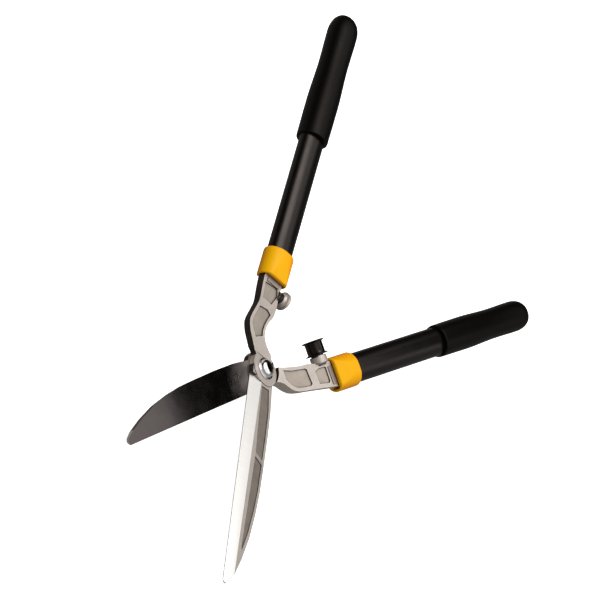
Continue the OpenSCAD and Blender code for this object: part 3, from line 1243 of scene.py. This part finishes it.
@dataclass
class Stops:
    """The rubber bumper with its socket, and the striker that meets it, in millimetres.

    Attributes:
        along: Their place along both handles' lines.
        bumper: The spool's profile, radius and distance from the handle's line.
        socket: The socket ring's profile, with a flared root.
        striker: The striker's profile, with a flared root.
        socket_root: Distance from the line within which the socket's root gets painted shade.
        striker_root: Distance from the line within which the striker's root gets painted shade.
    """

    along: float = 61.0
    bumper: tuple[Pair, ...] = (
        (3.1, 22.0), (6.4, 22.0), (6.4, 23.1), (11.2, 23.1), (11.4, 23.7), (11.0, 24.3), (9.0, 24.7),
        (8.9, 27.0), (8.9, 34.6), (9.1, 35.8), (11.0, 36.4), (11.2, 36.9), (11.1, 37.4), (10.6, 37.68),
        (7.6, 37.7), (6.8, 37.2), (1.0, 37.2),
    )
    socket: tuple[Pair, ...] = (
        (5.7, 12.8), (6.3, 13.6), (7.4, 14.4), (8.3, 14.9), (8.55, 15.4), (8.55, 20.9), (8.2, 21.6),
        (7.4, 21.95), (4.0, 21.95),
    )
    striker: tuple[Pair, ...] = (
        (5.45, 11.6), (5.45, 16.0), (5.9, 18.2), (7.4, 20.2), (9.2, 21.0), (9.55, 21.6), (9.55, 23.5),
        (9.2, 23.95), (8.6, 24.02), (2.0, 24.02),
    )
    socket_root: float = 13.6
    striker_root: float = 17.8

    def _turned(self, half: Half, profile: Sequence[Pair], name: str) -> bpy.types.Mesh:
        """Makes a turned piece that faces the other handle.

        Args:
            half: The half that it stands on.
            profile: Its profile.
            name: The mesh's name.

        Returns:
            The mesh.
        """
        line = HandleLine(half)
        return Lathe(line.at(self.along * MM), line.inward, profile).mesh(name)

    def dress_bumper(self, finishes: Finishes) -> None:
        """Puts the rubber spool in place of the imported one.

        Args:
            finishes: The shears' materials.
        """
        mesh = self._turned(Half.REAR, rounded(self.bumper, 0.35, 3), "bumper")
        piece = new_piece("bumper_spool", mesh, Half.REAR.body, [finishes.bumper])
        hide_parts("bumper")

    def dress_root(
        self, half: Half, profile: Sequence[Pair], root: float, word: str, finishes: Finishes
    ) -> None:
        """Adds a flared skin round the socket or the striker, with painted shade at its root.

        Args:
            half: The half that it stands on.
            profile: Its profile.
            root: Distance from the handle's line within which it gets painted shade, in millimetres.
            word: What it belongs to.
            finishes: The shears' materials.
        """
        line = HandleLine(half)
        mesh = self._turned(half, rounded(profile, 0.5, 3), word)
        # Faces near the root take the near-black wall finish: painted shade where the piece meets the shank.
        for polygon in mesh.polygons:
            out = (polygon.center - line.at(self.along * MM)).dot(line.inward) / MM
            polygon.material_index = int(out < root)
        skin = finishes.forging[half][ForgingFace.SKIN.value]
        wall = finishes.forging[half][ForgingFace.WALL.value]
        new_piece(f"{word}_skin", mesh, half.body, [skin, wall])

    def dress(self, finishes: Finishes) -> None:
        """Makes the bumper, and flares the roots of its socket and of the striker into the shanks.

        Args:
            finishes: The shears' materials.
        """
        self.dress_bumper(finishes)
        self.dress_root(Half.REAR, self.socket, self.socket_root, "bumper_socket", finishes)
        self.dress_root(Half.FRONT, self.striker, self.striker_root, "striker", finishes)


@dataclass
class Pivot:
    """The bolt with its domed head, and the dished washer, in millimetres.

    Attributes:
        hub_t: Height of the front hub's face over the plane where the blades slide.
        washer_t: Thickness of the washer.
        bolt_end: Height of the bolt's far end.
        bolt_r: Radius of the bolt's shank.
        head_r: Radius of the head.
        rim_h: Height of the head's rim.
        dome_r: Radius of the dome on the head.
        dome_h: Height of the dome.
        dome_power: Over 2 makes the dome flatter on top.
        washer_r: Outer radius of the washer, over its rolled rim.
        roll_r: Half the thickness of the rolled rim.
    """

    hub_t: float = 6.0
    washer_t: float = 1.5
    bolt_end: float = -18.7
    bolt_r: float = 5.0
    head_r: float = 9.1
    rim_h: float = 0.8
    dome_r: float = 8.8
    dome_h: float = 3.45
    dome_power: float = 3.4
    washer_r: float = 11.2
    roll_r: float = 0.58

    def bolt(self) -> bpy.types.Mesh:
        """Makes the head and the shank, turned in one piece.

        Returns:
            The bolt's mesh.
        """
        top = self.hub_t + self.washer_t
        shares = (0.995, 0.98, 0.955, 0.92, 0.87, 0.81, 0.74, 0.66, 0.57, 0.48, 0.38, 0.28, 0.18, 0.08)
        base = top + self.rim_h + 0.1
        dome = [(self.dome_r * x, base + self.dome_h * math.sqrt(1 - x ** self.dome_power)) for x in shares]
        profile = [
            (self.bolt_r - 0.8, self.bolt_end), (self.bolt_r, self.bolt_end + 0.8), (self.bolt_r, top),
            (self.head_r - 0.5, top), (self.head_r, top + 0.45), (self.head_r, top + self.rim_h), *dome,
        ]
        return Lathe(Vector(), Vector((0, 0, 1)), profile).mesh("bolt", angle_deg=34.0)

    def washer(self) -> bpy.types.Mesh:
        """Makes the washer, a dished ring with a rolled rim and a shallow groove.

        Returns:
            The washer's mesh.
        """
        z = self.hub_t
        middle = self.washer_r - self.roll_r
        roll = []
        for degrees in (-20, 0, 20, 40, 60, 80, 100, 120, 140, 160):
            a = math.radians(degrees)
            roll.append((middle + self.roll_r * math.cos(a), z + 0.68 + 0.66 * math.sin(a)))
        groove = [(9.98, z + 0.62), (9.8, z + 0.7), (9.6, z + 1.1), (9.4, z + 1.4)]
        hole = self.bolt_r + 0.2
        profile = [
            (hole, z), (10.7, z), (11.0, z + 0.15), *roll, *groove,
            (self.head_r, z + self.washer_t), (hole, z + self.washer_t),
        ]
        return Lathe(Vector(), Vector((0, 0, 1)), profile).mesh("washer", closed=True, angle_deg=38.0)

    def dress(self, finishes: Finishes) -> None:
        """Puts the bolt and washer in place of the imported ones.

        Args:
            finishes: The shears' materials.
        """
        made = (("bolt", self.bolt(), "pivot_bolt"), ("washer", self.washer(), "pivot_front_washer"))
        for word, mesh, node in made:
            piece = new_piece(f"pivot_{word}_chrome", mesh, Half.FRONT.body, [finishes.chrome])
            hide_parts(node)


@dataclass
class HiddenParts:
    """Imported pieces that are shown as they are, with a finish each.

    Attributes:
        zinc: Names of the zinc-plated ones.
        plastic: Names of the plastic ones.
    """

    zinc: tuple[str, ...] = (
        "front_tang_pin", "rear_tang_pin", "bumper_stud", "pivot_back_washer", "pivot_spring_washer",
        "pivot_nut",
    )
    plastic: tuple[str, ...] = ("front_tang_liner", "rear_tang_liner", "front_tube_plug", "rear_tube_plug")

    def dress(self, finishes: Finishes) -> None:
        """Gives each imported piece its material.

        Args:
            finishes: The shears' materials.
        """
        for names, material in ((self.zinc, finishes.zinc), (self.plastic, finishes.inner)):
            for name in names:
                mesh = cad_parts[name].data
                mesh.materials.clear()
                mesh.materials.append(material)


# ---------------------------------------------------------------- studio


@dataclass
class Studio:
    """Camera, floor and soft lights, in metres and watts.

    Attributes:
        camera_at: Place of the camera.
        right: The camera's own +X.
        up: The camera's own +Y.
        lens: Focal length, in millimetres, on a 36 mm sensor.
        floor_z: Height of the floor.
        floor_size: Half the floor's side.
        key_target: The point that the key light looks at.
        key_way: Direction of the key light from there.
        key_distance: Its distance.
        key_side: Its side.
        key_watts: Its power.
        glow_at: Place of the small light that the polished face mirrors near the rear blade's tip.
        glow_target: The point that it looks at.
        glow_side: Its side.
        glow_watts: Its power.
        card_at: Middle of the black card that the middle of the polished face mirrors.
        card_target: The point that it faces.
        card_size: Half its width and height.
        dark_way: Direction, level, in which the surroundings are darkest.
    """

    camera_at: Place = (-0.8479, -1.9751, 1.3158)
    right: Place = (0.50703, 0.30112, 0.80762)
    up: Place = (-0.79923, 0.51507, 0.30973)
    lens: float = 157.28
    floor_z: float = -0.0195
    floor_size: float = 30.0
    key_target: Place = (0.0, 0.05, 0.03)
    key_way: Place = (-0.40, 0.06, 0.91)
    key_distance: float = 1.2
    key_side: float = 0.75
    key_watts: float = 6.5
    glow_at: Place = (0.105, 0.222, 0.345)
    glow_target: Place = (-0.08, -0.2, 0.0)
    glow_side: float = 0.12
    glow_watts: float = 0.014
    card_at: Place = (0.175, 0.41, 0.365)
    card_target: Place = (-0.045, -0.11, 0.0)
    card_size: Pair = (0.13, 0.09)
    dark_way: Place = (-0.55, 0.83, 0.0)

    def camera(self) -> None:
        """Makes the camera, a long lens from the front left and above, rolled on its side."""
        data = bpy.data.cameras.new("camera")
        data.lens = self.lens
        data.sensor_width = 36.0
        data.clip_start = 0.1
        data.clip_end = 50.0
        camera = bpy.data.objects.new("camera", data)
        bpy.context.scene.collection.objects.link(camera)
        right, up = Vector(self.right), Vector(self.up)
        turn = Matrix((right, up, right.cross(up))).transposed().to_4x4()
        camera.matrix_world = Matrix.Translation(self.camera_at) @ turn
        bpy.context.scene.camera = camera

    def floor(self) -> None:
        """Makes a wide pale floor that glows a little, so that shadows on it stay faint."""
        mesh = bpy.data.meshes.new("floor")
        size = self.floor_size
        corners = [(-size, -size), (size, -size), (size, size), (-size, size)]
        mesh.from_pydata([(x, y, self.floor_z) for x, y in corners], [], [(0, 1, 2, 3)])
        floor = bpy.data.objects.new("floor", mesh)
        bpy.context.scene.collection.objects.link(floor)
        s = Shader("pale_floor", Roughness=0.9, Specular_IOR_Level=0.0, Emission_Color=rgba((1.0, 1.0, 1.0)))
        seen = s.add("LightPath").outputs["Is Camera Ray"]
        s.set("Base Color", s.blend(seen, rgba((0.3, 0.285, 0.27)), rgba((0.9, 0.9, 0.9))))
        s.set("Emission Strength", s.spread(seen, 0.0, 1.0, 0.02, 0.95))
        mesh.materials.append(s.material)

    @staticmethod
    def panel_light(name: str, at: Vector, target: Vector, side: float, watts: float) -> None:
        """Makes one square area light.

        Args:
            name: The light's name.
            at: Its place.
            target: The point that it looks at.
            side: Its side, in metres.
            watts: Its power.
        """
        data = bpy.data.lights.new(name, "AREA")
        data.shape = "SQUARE"
        data.size = side
        data.energy = watts
        light = bpy.data.objects.new(name, data)
        bpy.context.scene.collection.objects.link(light)
        light.location = at
        light.rotation_mode = "QUATERNION"
        light.rotation_quaternion = (at - target).to_track_quat("Z", "Y")

    def black_card(self, groups: Groups) -> None:
        """Makes a small black card that only the polished face mirrors.

        Args:
            groups: The shared shader groups.
        """
        centre = Vector(self.card_at)
        turn = (Vector(self.card_target) - centre).to_track_quat("Z", "Y").to_matrix()
        w, h = self.card_size
        made = bmesh.new()
        corners = [Vector((x, y, 0.0)) for x, y in ((-w, -h), (w, -h), (w, h), (-w, h))]
        made.faces.new([made.verts.new(centre + turn @ corner) for corner in corners])
        mesh = bpy.data.meshes.new("black_card")
        made.to_mesh(mesh)
        made.free()
        card = bpy.data.objects.new("black_card", mesh)
        bpy.context.scene.collection.objects.link(card)
        s = Shader("black_flock", Roughness=1.0, Specular_IOR_Level=0.0)
        fibres = s.place(groups.mottle, Scale=60.0).outputs["Mask"]
        s.set("Base Color", s.blend(fibres, rgba((0.001, 0.001, 0.001)), rgba((0.003, 0.003, 0.003))))
        mesh.materials.append(s.material)
        card.visible_camera = card.visible_diffuse = card.visible_shadow = False

    def world(self) -> None:
        """Makes a dome that is bright overhead and dark low down behind the shears."""
        world = bpy.data.worlds.new("studio")
        bpy.context.scene.world = world
        world.use_nodes = True
        w = NodeWriter(world.node_tree)
        way = w.add("TexCoord").outputs["Generated"]
        height = w.add("SeparateXYZ", None, _0=way).outputs[2]
        dot = w.add("VectorMath", {"operation": "DOT_PRODUCT"}, _0=way, _1=self.dark_way)
        low = w.spread(dot.outputs["Value"], -0.2, 0.45, 0.3, 0.015)
        rising = w.spread(height, 0.65, 0.72, 0.0, 1.0)
        fading = w.spread(height, 0.82, 0.95, 1.0, 0.82)
        high = w.maths("MULTIPLY", rising, fading)
        below = w.maths("MULTIPLY", low, w.maths("SUBTRACT", 1.0, high))
        background = world.node_tree.nodes["Background"]
        background.inputs["Color"].default_value = rgba((1.0, 1.0, 1.0))
        w.feed(background.inputs["Strength"], w.maths("ADD", below, w.maths("MULTIPLY", high, 1.15)))

    def build(self, groups: Groups) -> None:
        """Sets the whole studio up.

        Args:
            groups: The shared shader groups.
        """
        self.camera()
        self.floor()
        self.world()
        key_target = Vector(self.key_target)
        key_at = key_target + Vector(self.key_way).normalized() * self.key_distance
        self.panel_light("key", key_at, key_target, self.key_side, self.key_watts)
        self.panel_light(
            "tip_glow", Vector(self.glow_at), Vector(self.glow_target), self.glow_side, self.glow_watts
        )
        self.black_card(groups)
        bpy.context.scene.view_settings.view_transform = "Standard"


def main() -> None:
    """Builds every piece, then the studio."""
    logging.basicConfig(level=logging.INFO, format="%(name)s %(message)s")
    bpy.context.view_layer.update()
    groups = Groups()
    finishes = Finishes(groups)
    for half in Half:
        Forging(half).dress(finishes)
        Handle(half).dress(finishes)
    Stops().dress(finishes)
    Pivot().dress(finishes)
    HiddenParts().dress(finishes)
    Studio().build(groups)


if __name__ == "__main__":
    main()
